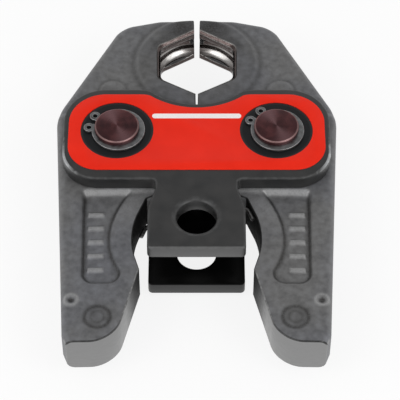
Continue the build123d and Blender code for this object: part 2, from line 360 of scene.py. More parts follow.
def tint(tree, fac, *stops):
    """Colours for a value, from (position, colour) stops."""
    ramp = add(tree, "ValToRGB")
    elements = ramp.color_ramp.elements
    while len(elements) < len(stops):
        elements.new(0.5)
    for element, (at, colour) in zip(elements, stops):
        element.position = at
        element.color = (*colour, 1)
    tree.links.new(fac, ramp.inputs["Fac"])
    return ramp.outputs["Color"]


def span(tree, value, low, high, to_low, to_high):
    """A value carried from one range to another."""
    node = add(tree, "MapRange")
    for socket, number in zip(("From Min", "From Max", "To Min", "To Max"), (low, high, to_low, to_high)):
        node.inputs[socket].default_value = number
    tree.links.new(value, node.inputs["Value"])
    return node.outputs["Result"]


def mix(tree, fac, first, second, blend_type="MIX"):
    """Two colours mixed by a value; the colours are sockets or plain colours."""
    node = add(tree, "Mix", data_type="RGBA", blend_type=blend_type)
    if isinstance(fac, float):
        node.inputs["Factor"].default_value = fac
    else:
        tree.links.new(fac, node.inputs["Factor"])
    for socket, colour in ((node.inputs[6], first), (node.inputs[7], second)):
        if isinstance(colour, tuple):
            socket.default_value = (*colour, 1)
        else:
            tree.links.new(colour, socket)
    return node.outputs[2]


def bump(tree, shader, height, strength, distance, before=None):
    """Fine relief that only the light shows, on top of a bump that came before."""
    node = add(tree, "Bump", Strength=strength, Distance=distance)
    tree.links.new(height, node.inputs["Height"])
    if before:
        tree.links.new(before, node.inputs["Normal"])
    tree.links.new(node.outputs["Normal"], shader.inputs["Normal"])
    return node.outputs["Normal"]


def grey(value, warm=0.0):
    """A near neutral colour, a little warmer or cooler."""
    return value * (1 + warm), value, value * (1 - warm)


def from_pin_axis(tree):
    """The place as seen from the axis of the nearer pivot pin, flat in X and Y."""
    x, y, z = axes_of(tree, object_place(tree))
    nearer = sum_of(tree, "MULTIPLY", sum_of(tree, "SIGN", x, 0), PIVOT_X)
    flat = add(tree, "CombineXYZ")
    tree.links.new(sum_of(tree, "SUBTRACT", x, nearer), flat.inputs["X"])
    tree.links.new(sum_of(tree, "SUBTRACT", y, PIVOT_Y), flat.inputs["Y"])
    return flat.outputs["Vector"]


def length_of(tree, vector):
    node = add(tree, "VectorMath", operation="LENGTH")
    tree.links.new(vector, node.inputs[0])
    return node.outputs["Value"]


DARK_NEAR_PIN_FROM = 12.0 * mm
DARK_NEAR_PIN_TO = 13.6 * mm
RUB_AND_HIGHLIGHT_X = (42.0 * mm, 46.5 * mm)
RUB_AND_HIGHLIGHT_Y = (36.0 * mm, 27.0 * mm)
PAINTED_HIGHLIGHT_END = (-12.9 * mm, -13.5 * mm)


def black_skin(name, rubbed_and_highlit):
    """Blackened steel: darker near the pins, with painted shade on the inner faces and a painted highlight
    at the end of the tab on the front.

    Where rubbing is asked for, metal shows through the black, most on the lower corners of the bar, where
    it also stands in for a painted highlight.
    """
    finish, tree, shader = new_finish(name, grey(0.02), 0.0, 0.4)
    shader.inputs["IOR"].default_value = 1.65
    shader.inputs["Specular IOR Level"].default_value = 0.4
    place = object_place(tree)
    mottle = cloud(tree, place, 5 * mm)
    fine = cloud(tree, place, 0.45 * mm, 2)
    colour = tint(tree, mottle, (0.3, grey(0.012, -0.03)), (0.7, grey(0.02, 0.02)))
    # Darker and more metallic near each pin, within about 13 mm of its axis.
    darker_near_pin = span(tree, length_of(tree, from_pin_axis(tree)), DARK_NEAR_PIN_FROM, DARK_NEAR_PIN_TO, 0.85, 0)
    colour = mix(tree, darker_near_pin, colour, grey(0.022, -0.08))
    x, y, z = axes_of(tree, place)
    # Painted shade: the inner faces, in the shadow between the plates, are made dark and metallic.
    inner = span(tree, sum_of(tree, "ABSOLUTE", z, 0), 0.4 * mm - PLATE_IN, 0.1 * mm - PLATE_IN, 0, 1)
    colour = mix(tree, inner, colour, grey(0.02))
    # Painted highlight: the end of the tab on the front plate is made lighter, as if lit from the front.
    on_front = span(tree, z, 0, mm, 0, 0.22)
    painted_highlight_end = sum_of(tree, "MULTIPLY", span(tree, y, *PAINTED_HIGHLIGHT_END, 0, 1), on_front)
    colour = mix(tree, painted_highlight_end, colour, grey(0.25))
    shine = sum_of(tree, "MAXIMUM", darker_near_pin, inner)
    if rubbed_and_highlit:
        # The lower corners of the bar are lighter metal: partly rubbing, partly a painted highlight where
        # the corner arcs catch the light.
        outer = span(tree, sum_of(tree, "ABSOLUTE", x, 0), *RUB_AND_HIGHLIGHT_X, 0, 1)
        lower = span(tree, y, *RUB_AND_HIGHLIGHT_Y, 0, 1)
        corner = sum_of(tree, "MULTIPLY", outer, lower)
        patches = span(tree, cloud(tree, place, 2.2 * mm, 5), 0.42, 0.62, 0, 1)
        bare_and_highlight = sum_of(tree, "MULTIPLY", span(tree, corner, 0, 1, 0.03, 0.85), patches)
        bare_and_highlight = sum_of(tree, "MAXIMUM", bare_and_highlight, span(tree, corner, 0.3, 1, 0, 0.6))
        colour = mix(tree, bare_and_highlight, colour, grey(0.62, -0.02))
        shine = sum_of(tree, "MAXIMUM", bare_and_highlight, darker_near_pin)
    tree.links.new(shine, shader.inputs["Metallic"])
    tree.links.new(colour, shader.inputs["Base Color"])
    dull = 0.12 if rubbed_and_highlit else 0.0
    tree.links.new(span(tree, mottle, 0.3, 0.7, 0.34 + dull, 0.46 + dull), shader.inputs["Roughness"])
    bump(tree, shader, fine, 0.3, 0.06 * mm)
    return finish


def dress(piece, body, slot, *nodes):
    """Say which body a piece moves with and hide the nodes it stands for. The slot is not used."""
    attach(piece, body)
    if nodes:
        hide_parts(*nodes)


rear_plate.data.materials[BLACK] = black_skin("black_skin", False)
rear_plate.data.materials[RUBBED_AND_HIGHLIT] = black_skin("rubbed_and_highlit_black", True)


# Pivot pins
# Two hardened and ground pins that the arms turn on. Each was turned in one piece, with a groove
# near each end for a retaining ring, and browned by its heat treatment.

PIN_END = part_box("right_pivot_pin")[1].z
FRONT_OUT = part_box("front_side_plate")[1].z
PIN_CHAMFER = 0.5 * mm
PIN_EDGE = 0.15 * mm
GROOVE_WIDTH = 1.1 * mm
GROOVE_R = 7.6 * mm


def turned(name, x, y, profile, vertices=96):
    """A lathe part: a disc that is extruded along Z and drawn in or out from station to station."""
    deselect()
    (radius, z), rest = profile[0], profile[1:]
    place = (x, y, z)
    bpy.ops.mesh.primitive_circle_add(vertices=vertices, radius=radius, fill_type="NGON", location=place)
    piece = bpy.context.object
    piece.name = piece.data.name = name
    bpy.ops.object.transform_apply(location=True)
    bpy.ops.object.mode_set(mode="EDIT")
    bpy.ops.mesh.select_mode(type="FACE")
    bpy.ops.mesh.select_all(action="SELECT")
    for next_radius, next_z in rest:
        bpy.ops.mesh.extrude_region_move(TRANSFORM_OT_translate={"value": (0, 0, next_z - z)})
        grow = next_radius / radius
        bpy.ops.transform.resize(value=(grow, grow, 1), center_override=(x, y, next_z))
        radius, z = next_radius, next_z
    bpy.ops.mesh.select_all(action="SELECT")
    bpy.ops.mesh.normals_make_consistent(inside=False)
    bpy.ops.object.mode_set(mode="OBJECT")
    return piece


half_pin = [
    (PIN_R, FRONT_OUT),
    (GROOVE_R, FRONT_OUT),
    (GROOVE_R, FRONT_OUT + GROOVE_WIDTH),
    (PIN_R, FRONT_OUT + GROOVE_WIDTH),
    (PIN_R, PIN_END - PIN_CHAMFER),
    (PIN_R - PIN_CHAMFER, PIN_END),
]
pin_profile = [(radius, -z) for radius, z in reversed(half_pin)] + half_pin
right_pin = turned("right_pin", PIVOT_X, PIVOT_Y, pin_profile)
work_on(right_pin)
bpy.ops.object.mode_set(mode="EDIT")
for level in (PIN_END, PIN_END - PIN_CHAMFER, -PIN_END, PIN_CHAMFER - PIN_END):
    pick(right_pin, lambda e: is_sharp(e) and on_level(e, level))
    bpy.ops.mesh.bevel(offset=PIN_EDGE, segments=2, affect="EDGES")
bpy.ops.object.mode_set(mode="OBJECT")
smooth(right_pin)

SHEEN_ANGLE = radians(116)
browned, tree, shader = new_finish("browned_pin", (0.075, 0.042, 0.04), 0.8, 0.3)
shader.inputs["Anisotropic"].default_value = 0.85
around = add(tree, "Tangent", direction_type="RADIAL", axis="Z")
tree.links.new(around.outputs["Tangent"], shader.inputs["Tangent"])
z = axes_of(tree, object_place(tree))[2]
flat = from_pin_axis(tree)
out = length_of(tree, flat)
ring_place = add(tree, "CombineXYZ")
tree.links.new(out, ring_place.inputs["X"])
rings = cloud(tree, ring_place.outputs["Vector"], 0.35 * mm, 2)
stain = cloud(tree, object_place(tree), 4 * mm, 3)
brown = tint(
    tree,
    stain,
    (0.3, (0.042, 0.017, 0.019)),
    (0.5, (0.068, 0.024, 0.026)),
    (0.7, (0.11, 0.038, 0.04)),
)
# Painted sheen: two light wedges run out from the centre of each pin end.
direction = add(tree, "VectorMath", operation="NORMALIZE")
tree.links.new(flat, direction.inputs[0])
sheen = add(tree, "VectorMath", operation="DOT_PRODUCT")
tree.links.new(direction.outputs["Vector"], sheen.inputs[0])
sheen.inputs[1].default_value = (cos(SHEEN_ANGLE), sin(SHEEN_ANGLE), 0)
painted_sheen_wedges = sum_of(tree, "POWER", sum_of(tree, "ABSOLUTE", sheen.outputs["Value"], 0), 9)
brown = mix(tree, sum_of(tree, "MULTIPLY", painted_sheen_wedges, 0.75), brown, (0.2, 0.105, 0.112))
# Painted highlight on the chamfer at each end of the pin.
rim_r = PIN_R - PIN_CHAMFER
rim_z = PIN_END - PIN_CHAMFER
near_rim = span(tree, out, rim_r - 0.15 * mm, rim_r, 0, 0.22)
near_end = span(tree, sum_of(tree, "ABSOLUTE", z, 0), rim_z - 0.2 * mm, rim_z, 0, 1)
painted_rim_highlight = sum_of(tree, "MULTIPLY", near_rim, near_end)
tree.links.new(mix(tree, painted_rim_highlight, brown, (0.45, 0.33, 0.31)), shader.inputs["Base Color"])
tree.links.new(span(tree, rings, 0.3, 0.7, 0.24, 0.38), shader.inputs["Roughness"])
bump(tree, shader, rings, 0.25, 0.04 * mm)
right_pin.data.materials.append(browned)


def copied(piece, name, flip):
    """A copy of a piece with its own mesh, turned over in the middle plane of each flipped axis."""
    work_on(piece)
    bpy.ops.object.duplicate(linked=False)
    other = bpy.context.object
    other.name = other.data.name = name
    bpy.ops.object.mode_set(mode="EDIT")
    bpy.ops.mesh.select_all(action="SELECT")
    bpy.ops.transform.resize(value=flip, center_override=(0, 0, 0))
    if flip[0] * flip[1] * flip[2] < 0:
        bpy.ops.mesh.flip_normals()
    bpy.ops.object.mode_set(mode="OBJECT")
    return other


TO_LEFT = (-1, 1, 1)
TO_FRONT = TO_REAR = (1, 1, -1)
left_pin = copied(right_pin, "left_pin", TO_LEFT)
dress(right_pin, "side_plates", "pin_steel", "right_pivot_pin")
dress(left_pin, "side_plates", "pin_steel", "left_pivot_pin")


# Jaw arms
# Two drop-forged steel levers, one the mirror image of the other, on which only the mouth,
# the pin hole and the cam are machined. The forged skin is shot blasted and phosphated grey.

ARM_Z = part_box("right_jaw_arm")[1].z
REST_ANGLE = 1.0
FACE_GAP = 0.05 * mm
NOSE_Y = 99.2 * mm
SHOULDER = point_mm(51.1, 52.3)
NOSE_CORNER = point_mm(27.8, 96.0)
NOSE_TOP = point_mm(13.0, 99.2)
HEEL = point_mm(47.0, -44.5)
HEEL_LOW = point_mm(45.5, -48.5)
TOE = point_mm(29.2, -48.5)
BOSS_R = PIVOT_X - 0.35 * mm
BOSS_END_Y = 12.5 * mm
BOSS_MID_ANGLE = radians(205)
CAM_TOP = point_mm(20.8, -18.5)
THROAT_LOW = point_mm(21.9, -14.5)
THROAT_MID = point_mm(23.2, -5.0)
THROAT_HIGH = point_mm(21.3, 5.1)
FACE_LOW_Y = 42.0 * mm
SHOULDER_ROUND = 20.0 * mm
NOSE_CORNER_ROUND = 10.0 * mm
NOSE_TOP_ROUND = 12.0 * mm
TOE_ROUND = 11.5 * mm
OUTER_ROUND = 2.5 * mm
EDGE_ROUND = 0.45 * mm
boss_corner = (PIVOT_X - BOSS_R * cos(asin((PIVOT_Y - BOSS_END_Y) / BOSS_R)), BOSS_END_Y)
boss_middle = (PIVOT_X + BOSS_R * cos(BOSS_MID_ANGLE), PIVOT_Y + BOSS_R * sin(BOSS_MID_ANGLE))
arm_path = [
    NOSE_TOP,
    NOSE_CORNER,
    SHOULDER,
    HEEL,
    HEEL_LOW,
    TOE,
    CAM_TOP,
    THROAT_LOW,
    (THROAT_MID, THROAT_HIGH, 16),
    boss_corner,
    (boss_middle, (PIVOT_X - BOSS_R, PIVOT_Y), 24),
    (FACE_GAP, FACE_LOW_Y),
]
right_arm = trace("right_arm_forging", (FACE_GAP, NOSE_Y), arm_path, -ARM_Z)
raise_to(2 * ARM_Z)
for corner, radius, segments in (
    (SHOULDER, SHOULDER_ROUND, 14),
    (NOSE_CORNER, NOSE_CORNER_ROUND, 12),
    (NOSE_TOP, NOSE_TOP_ROUND, 6),
    (TOE, TOE_ROUND, 16),
):
    round_corner(right_arm, [corner], radius, segments)
bpy.ops.object.mode_set(mode="OBJECT")

MOUTH_Y = 76.8 * mm
MOUTH_FLATS = 25.8 * mm
MOUTH_LEAD = 1.2 * mm
MOUTH_CORNER = 3.0 * mm
BEAD_R = 17.4 * mm
BEAD_HALF = 4.9 * mm
RELIEF_R = 1.6 * mm
CORNER = 1 / cos(pi / 6)
half_mouth = [
    (MOUTH_FLATS / 2 * CORNER, ARM_Z - MOUTH_LEAD),
    ((MOUTH_FLATS / 2 + MOUTH_LEAD + mm) * CORNER, ARM_Z + mm),
]
mouth_profile = [(radius, -z) for radius, z in reversed(half_mouth)] + half_mouth
mouth_tool = turned("mouth_tool", 0, MOUTH_Y, mouth_profile, 6)
bpy.ops.object.mode_set(mode="EDIT")
pick(mouth_tool, lambda e: abs(e.verts[0].co.z - e.verts[1].co.z) > mm and abs(mid(e).x) > mm)
bpy.ops.mesh.bevel(offset=MOUTH_CORNER * tan(pi / 6), segments=6, affect="EDGES", clamp_overlap=False)
bpy.ops.object.mode_set(mode="OBJECT")
cut(right_arm, mouth_tool)
deselect()
bpy.ops.mesh.primitive_torus_add(
    major_radius=BEAD_R - BEAD_HALF,
    minor_radius=BEAD_HALF,
    major_segments=96,
    minor_segments=40,
    location=(0, MOUTH_Y, 0),
)
cut(right_arm, bpy.context.object)
deselect()
bpy.ops.mesh.primitive_cylinder_add(
    vertices=32, radius=RELIEF_R, depth=2.2 * BEAD_R, location=(0, MOUTH_Y, 0), rotation=(pi / 2, 0, 0)
)
cut(right_arm, bpy.context.object)
drill(right_arm, PIVOT_X, PIVOT_Y, PIN_R, -2 * ARM_Z, 2 * ARM_Z)

FORGED, WALL, LAND, EDGE, LIP = range(5)


def from_mouth(place):
    return hypot(place.x, place.y - MOUTH_Y)


def from_pin(place):
    return hypot(place.x - PIVOT_X, place.y - PIVOT_Y)


def is_mouth(place):
    return from_mouth(place) < BEAD_R + 0.5 * mm


def is_outer(place):
    """True on the outer side of an arm, from the nose round the shoulder to the heel."""
    if is_mouth(place) or from_pin(place) < PIN_R + mm or place.x < 0.5 * mm:
        return False
    if place.y > BOSS_END_Y:
        return place.x > NOSE_CORNER[0] or place.y > NOSE_CORNER[1] - 7 * mm
    return place.x > HEEL_LOW[0] - 0.2 * mm


def is_outer_corner(edge):
    return is_sharp(edge, 40) and is_outer(mid(edge)) and (on_level(edge, ARM_Z) or on_level(edge, -ARM_Z))


bpy.ops.object.mode_set(mode="EDIT")
tidy_mesh(right_arm)
pick(right_arm, is_outer_corner)
bpy.ops.mesh.bevel(offset=OUTER_ROUND, segments=7, affect="EDGES", clamp_overlap=False)
open_slots(right_arm, 5)
pick(right_arm, lambda e: is_sharp(e) and is_mouth(mid(e)) and mid(e).x > 0.2 * mm)
bpy.ops.mesh.bevel(offset=SMALL_EDGE, segments=2, affect="EDGES", clamp_overlap=False, material=LIP)


def is_left_sharp(edge):
    place = mid(edge)
    if is_mouth(place) or from_pin(place) < PIN_R + mm or is_outer(place) and place.y > HEEL[1]:
        return False
    return is_sharp(edge, 35)


pick(right_arm, is_left_sharp)
bpy.ops.mesh.bevel(offset=EDGE_ROUND, segments=3, affect="EDGES", clamp_overlap=False, material=EDGE)

CELL = 0.52 * mm
FACE_BAND = 2.6 * mm


def is_near_face(item):
    """True for an edge or face in the band below either forged face that the relief moves."""
    place = item.calc_center_median() if hasattr(item, "calc_center_median") else mid(item)
    return abs(place.z) > ARM_Z - FACE_BAND


for axis, low, high in ((0, 0, SHOULDER[0]), (1, TOE[1], NOSE_Y)):
    for step in range(1, int((high - low) / CELL)):
        pick(right_arm, is_near_face, "faces")
        at, facing = [0, 0, 0], [0, 0, 0]
        at[axis] = low + step * CELL
        facing[axis] = 1
        bpy.ops.mesh.bisect(plane_co=at, plane_no=facing)
bpy.ops.object.mode_set(mode="OBJECT")

COLLAR_R = 21.5 * mm
PAD = Vector(point_mm(30.6, 63.4))
NOSE_RELIEF = 0.9
NOSE_RELIEF_Y = 50.0 * mm
PANEL_DEPTH = 1.6
BAR_RISE = 0.75
RIB_DROP = 0.5
STAMP_DEPTH = 0.22
DENT_DEPTH = 0.6
PANEL_TOP_Y = 15.6 * mm
PANEL_LOW_Y = -24.0 * mm
PANEL_OUT_X = 40.4 * mm
PANEL_WAIST = Vector(point_mm(31.2, -5.5))
BOW_ABOVE = 16.3
BOW_BELOW = 20.0
PANEL_ROUND = 4.0 * mm
BAR_CENTRE = point_mm(36.0, -6.0)
BAR_COUNT = 5
BAR_PITCH = 6.0 * mm
BAR_LENGTH = 5.6 * mm
BAR_WIDTH = 1.8 * mm
STAMP = Vector(point_mm(34.9, -38.4))
DENT = Vector(point_mm(44.0, -31.3))
NOSE_DARK_SPOT = Vector(point_mm(4.0, 93.5))
NOSE_DARK_SPOT_R = 9.0 * mm


def ease(value, low, high):
    """0 below low, 1 above high and a soft rise between."""
    t = min(1, max(0, (value - low) / (high - low)))
    return t * t * (3 - 2 * t)


def hump(value, half_width):
    return exp(-((value / half_width) ** 2))


def inside_panel(x, y):
    """How far a point lies inside the wall line of the sunk panel, in millimetres."""
    bow = BOW_ABOVE if y > PANEL_WAIST.y else BOW_BELOW
    inner = PANEL_WAIST.x - bow * (max(y, PANEL_LOW_Y + 5 * mm) - PANEL_WAIST.y) ** 2
    across = min(x - inner, PANEL_OUT_X - x)
    along = y - PANEL_LOW_Y
    if across < PANEL_ROUND and along < PANEL_ROUND:
        return (PANEL_ROUND - hypot(PANEL_ROUND - across, PANEL_ROUND - along)) / mm
    return min(across, along) / mm


def bar_share(x, y):
    """How much of the plain raised bars in the panel a point has, from 0 to 1."""
    far = (BAR_COUNT - 1) // 2
    row = min(far, max(-far, round((y - BAR_CENTRE[1]) / BAR_PITCH)))
    across = abs(x - BAR_CENTRE[0]) - BAR_LENGTH / 2
    along = abs(y - BAR_CENTRE[1] - row * BAR_PITCH) - BAR_WIDTH / 2
    return ease(-max(across, along), -0.4 * mm, 0.4 * mm)


def relief(place):
    """How far the forged face stands above or below the machined level, in millimetres."""
    x, y = place.x, place.y
    collar = 1 - ease(from_mouth(place), COLLAR_R - 0.8 * mm, COLLAR_R + 1.8 * mm)
    pad = 1 - ease((place.xy - PAD).length, 3.6 * mm, 5.4 * mm)
    height = -NOSE_RELIEF * ease(y, NOSE_RELIEF_Y, NOSE_RELIEF_Y + 3.5 * mm) * (1 - max(collar, pad))
    top = 1 - ease(y, PANEL_TOP_Y - 1.2 * mm, PANEL_TOP_Y + 1.2 * mm)
    depth = inside_panel(x, y)
    height -= PANEL_DEPTH * ease(depth, -0.9, 0.9) * top
    height -= 0.2 * hump(depth - 1.0, 0.7) * top
    height += BAR_RISE * bar_share(x, y)
    rib = top * (1 - ease(y, -8 * mm, -18 * mm)) * (1 - ease(x, PANEL_WAIST.x, PANEL_WAIST.x + 3 * mm))
    height -= RIB_DROP * rib * (1 - ease(depth, -0.9, 0.9))
    ring = (place.xy - STAMP).length / mm
    height -= STAMP_DEPTH * hump(ring - 4.5, 0.6)
    height -= 0.12 * (1 - ease(ring, 3.6, 4.6)) - 0.12 * hump(ring - 2.3, 0.6)
    ball = (place.xy - DENT).length / mm
    height -= DENT_DEPTH * (1 - ease(ball, 0.3, 1.7)) - 0.2 * hump(ball - 2.2, 0.6)
    return height


def soil_and_shade_share(place):
    """How dark a point of the forged face is made, from 0 to 1: painted shade at the feet of the walls, in
    the stamp and dent and outside the collar, and a darker tone inside the collar and near the mouth.
    """
    x, y = place.x, place.y
    top = 1 - ease(y, PANEL_TOP_Y - 3 * mm, PANEL_TOP_Y)
    wall_foot = hump(inside_panel(x, y) - 0.3, 0.75) * top
    collar_foot = 0.55 * hump((from_mouth(place) - COLLAR_R) / mm - 1.4, 1.3)
    pad_foot = 0.5 * hump((place.xy - PAD).length / mm - 5.2, 0.8)
    ring = (place.xy - STAMP).length / mm
    stamp = 0.85 * hump(ring - 4.5, 0.7) + 0.3 * (1 - ease(ring, 3.8, 4.6)) + 0.3 * hump(ring - 2.3, 0.5)
    ball = (place.xy - DENT).length / mm
    collar = 0.32 * (1 - ease(from_mouth(place), COLLAR_R - mm, COLLAR_R + mm))
    above_mouth = ease(y, MOUTH_Y - mm, MOUTH_Y + 9 * mm)
    # A darker tone above the mouth and at a spot near the nose.
    darker_near_mouth = 0.7 * (1 - ease(from_mouth(place), 16.5 * mm, 21 * mm)) * above_mouth
    darker_near_mouth = max(darker_near_mouth, hump((place.xy - NOSE_DARK_SPOT).length, NOSE_DARK_SPOT_R))
    return min(1, max(wall_foot, collar_foot, pad_foot, stamp, collar, darker_near_mouth, 1 - ease(ball, 0.7, 1.5)))


def rub_and_highlight_share(place):
    """How much a point of the forged face is lightened, from 0 to 1: painted highlight on the lip at the
    top of the panel, the rib and the raised bars, and rubbing on the rim of the dent.
    """
    x, y = place.x, place.y
    slope = hump((y - PANEL_TOP_Y) / mm, 1.5) * (1 - ease(x, PANEL_OUT_X - mm, PANEL_OUT_X + 1.5 * mm))
    rib = 0.35 * ease(y, -6 * mm, 12 * mm) * (1 - ease(y, 14 * mm, 17 * mm)) * (inside_panel(x, y) < -0.5)
    round_dent = hump((place.xy - DENT).length / mm - 2.2, 0.6)
    return min(1, max(0.75 * slope, rib * (x < PANEL_OUT_X), 0.7 * bar_share(x, y), 0.8 * round_dent))


# Two point attributes drive the forged finish: painted shade in the hollows with a darker tone near the
# mouth, and painted highlight on proud places with some rubbing.
soil_and_shade = right_arm.data.attributes.new("soil_and_shade", "FLOAT", "POINT")
rubbed_and_highlit = right_arm.data.attributes.new("rubbed_and_highlit", "FLOAT", "POINT")
for corner in right_arm.data.vertices:
    if abs(corner.co.z) > ARM_Z - FACE_BAND:
        soil_and_shade.data[corner.index].value = soil_and_shade_share(corner.co)
        rubbed_and_highlit.data[corner.index].value = rub_and_highlight_share(corner.co)
    if not is_mouth(corner.co) or abs(corner.co.z) > ARM_Z - 1.4 * mm:
        share = ease(abs(corner.co.z), 0.4 * ARM_Z, ARM_Z)
        corner.co.z += (1 if corner.co.z > 0 else -1) * relief(corner.co) * mm * share
for face in right_arm.data.polygons:
    if face.material_index == LIP or face.material_index == EDGE and abs(face.normal.z) > 0.1:
        continue
    face.material_index = FORGED
    place = face.center
    is_low_end = place.y < HEEL[1] - 2 * mm
    if is_mouth(place) and abs(face.normal.z) < 0.95:
        face.material_index = LAND
    elif abs(face.normal.z) < 0.5 and place.y < BOSS_END_Y and (is_low_end or not is_outer(place)):
        face.material_index = WALL
smooth(right_arm, 35)
bpy.ops.object.mode_set(mode="EDIT")
pick(right_arm, lambda e: is_near_face(e) and all(abs(f.normal.z) > 0.1 for f in e.link_faces))
bpy.ops.mesh.mark_sharp(clear=True)
bpy.ops.object.mode_set(mode="OBJECT")


def turn(piece, angle, centre):
    """Turn a piece counterclockwise, seen from the front, about an upright line."""
    work_on(piece)
    bpy.ops.object.mode_set(mode="EDIT")
    bpy.ops.mesh.select_all(action="SELECT")
    bpy.ops.transform.rotate(value=-angle, orient_axis="Z", orient_type="GLOBAL", center_override=centre)
    bpy.ops.object.mode_set(mode="OBJECT")


turn(right_arm, -radians(REST_ANGLE), (PIVOT_X, PIVOT_Y, 0))


def rest_point(point):
    """A point of the closed right arm, where it lies at rest."""
    angle = -radians(REST_ANGLE)
    dx, dy = point[0] - PIVOT_X, point[1] - PIVOT_Y
    return PIVOT_X + dx * cos(angle) - dy * sin(angle), PIVOT_Y + dx * sin(angle) + dy * cos(angle)


forged, tree, shader = new_finish("forged_grey", grey(0.17), 0.5, 0.5)
place = object_place(tree)
broad = cloud(tree, place, 25 * mm, 2)
mottle = cloud(tree, place, 2.4 * mm, 5)
grain = cloud(tree, place, 0.6 * mm, 3)
skin = tint(
    tree,
    mottle,
    (0.28, grey(0.118, -0.01)),
    (0.5, grey(0.158, -0.01)),
    (0.74, grey(0.2, -0.02)),
)
hue = tint(tree, broad, (0.35, (0.93, 0.935, 1.0)), (0.65, (1.0, 0.985, 0.975)))
skin = mix(tree, 1.0, skin, hue, "MULTIPLY")
# The first mix darkens the skin with painted shade, the second lightens it with painted highlight.
for name, most, colour in (("soil_and_shade", 0.95, grey(0.024, 0.06)), ("rubbed_and_highlit", 0.9, grey(0.36))):
    where = add(tree, "Attribute", attribute_name=name)
    patchy = sum_of(tree, "MULTIPLY", where.outputs["Fac"], span(tree, grain, 0.3, 0.6, 0.65 * most, most))
    skin = mix(tree, patchy, skin, colour)
tree.links.new(skin, shader.inputs["Base Color"])
tree.links.new(span(tree, mottle, 0.3, 0.7, 0.4, 0.54), shader.inputs["Roughness"])
first = bump(tree, shader, grain, 0.4, 0.12 * mm)
bump(tree, shader, mottle, 0.3, 0.2 * mm, first)

wall, tree, shader = new_finish("cam_wall", grey(0.3), 0.85, 0.38)
y = axes_of(tree, object_place(tree))[1]
streak = cloud(tree, object_place(tree, stretch=(1, 1, 6)), 2.5 * mm, 3)
# Painted shade: the cam wall runs from a lighter grey at the toe to near black towards the throat.
shade = tint(
    tree,
    span(tree, y, -46 * mm, -14 * mm, 0, 1),
    (0.0, grey(0.26)),
    (0.36, grey(0.24)),
    (0.52, grey(0.07)),
    (0.66, grey(0.03)),
    (0.85, grey(0.012)),
)
tree.links.new(shade, shader.inputs["Base Color"])
tree.links.new(span(tree, y, -30 * mm, -22 * mm, 0.85, 0.0), shader.inputs["Metallic"])
shader.inputs["Specular IOR Level"].default_value = 0.15
deep = span(tree, y, -30 * mm, -18 * mm, 0.0, 0.35)
scatter = sum_of(tree, "ADD", deep, span(tree, streak, 0.3, 0.7, 0.32, 0.46))
tree.links.new(scatter, shader.inputs["Roughness"])
bump(tree, shader, streak, 0.15, 0.08 * mm)

land, tree, shader = new_finish("mouth_land", (0.1, 0.075, 0.07), 1.0, 0.16)
turned_marks = cloud(tree, object_place(tree, stretch=(1, 1, 5)), 1.6 * mm, 3)
dark, brown, bright = (0.04, 0.029, 0.028), (0.075, 0.058, 0.055), (0.16, 0.14, 0.135)
plain_land = tint(tree, turned_marks, (0.3, dark), (0.55, brown), (0.8, bright))
x, y, z = axes_of(tree, object_place(tree))
groove_top = span(tree, z, -0.8 * mm, -1.8 * mm, 0, 1)
groove_foot = span(tree, z, -4.7 * mm, -4.2 * mm, 0, 1)
groove = sum_of(tree, "MULTIPLY", groove_top, groove_foot)
# Painted highlight: the groove is made bright where the lamps' reflection falls, about 34 degrees either
# side of the top of the mouth, with a little polish in the rest of the groove.
around_mouth = add(tree, "Math", operation="ARCTAN2")
tree.links.new(sum_of(tree, "ABSOLUTE", x, 0), around_mouth.inputs[0])
tree.links.new(sum_of(tree, "SUBTRACT", y, MOUTH_Y), around_mouth.inputs[1])
off_spot = sum_of(tree, "ABSOLUTE", sum_of(tree, "SUBTRACT", around_mouth.outputs[0], 0.6), 0)
wear_and_highlight = sum_of(tree, "MULTIPLY", groove, span(tree, off_spot, 0.5, 0.1, 0.12, 1))
polish_and_highlight_colour = tint(tree, turned_marks, (0.3, grey(0.4, 0.04)), (0.7, grey(0.6, 0.03)))
tree.links.new(mix(tree, wear_and_highlight, plain_land, polish_and_highlight_colour), shader.inputs["Base Color"])
tree.links.new(span(tree, turned_marks, 0.3, 0.7, 0.1, 0.2), shader.inputs["Roughness"])

edge, tree, shader = new_finish("edge_with_painted_highlight", grey(0.3), 0.9, 0.35)
place = object_place(tree)
y = axes_of(tree, place)[1]
# Painted highlight along the cam edge, with the edge left dark at the toe and near the throat.
edge_highlight_along_arm = tint(
    tree,
    span(tree, y, -49 * mm, -9 * mm, 0, 1),
    (0.0, grey(0.05)),
    (0.12, grey(0.05)),
    (0.3, grey(0.3)),
    (0.75, grey(0.34)),
    (1.0, grey(0.08)),
)
rub = span(tree, cloud(tree, place, 1.4 * mm, 3), 0.35, 0.65, 0.0, 0.6)
tree.links.new(mix(tree, rub, edge_highlight_along_arm, grey(0.09)), shader.inputs["Base Color"])

lip, tree, shader = new_finish("mouth_lip", grey(0.3), 1.0, 0.3)
place = object_place(tree)
y = axes_of(tree, place)[1]
# Painted highlight: the lip is light above the mouth and dark below it.
wear_and_highlight = tint(tree, cloud(tree, place, 5 * mm, 2), (0.35, grey(0.14, 0.05)), (0.65, grey(0.32, 0.03)))
above = span(tree, y, MOUTH_Y + 5 * mm, MOUTH_Y + 9 * mm, 0.0, 1.0)
tree.links.new(mix(tree, above, grey(0.04, 0.05), wear_and_highlight), shader.inputs["Base Color"])

for number, finish in enumerate((forged, wall, land, edge, lip)):
    right_arm.data.materials[number] = finish
left_arm = copied(right_arm, "left_arm_forging", TO_LEFT)
dress(right_arm, "right_arm", "forged_steel", "right_jaw_arm")
dress(left_arm, "left_arm", "forged_steel", "left_jaw_arm")


# Spring post
# A short turned steel pin between the side plates, pressed into a blind hole in each.
# The closing spring is threaded over it.

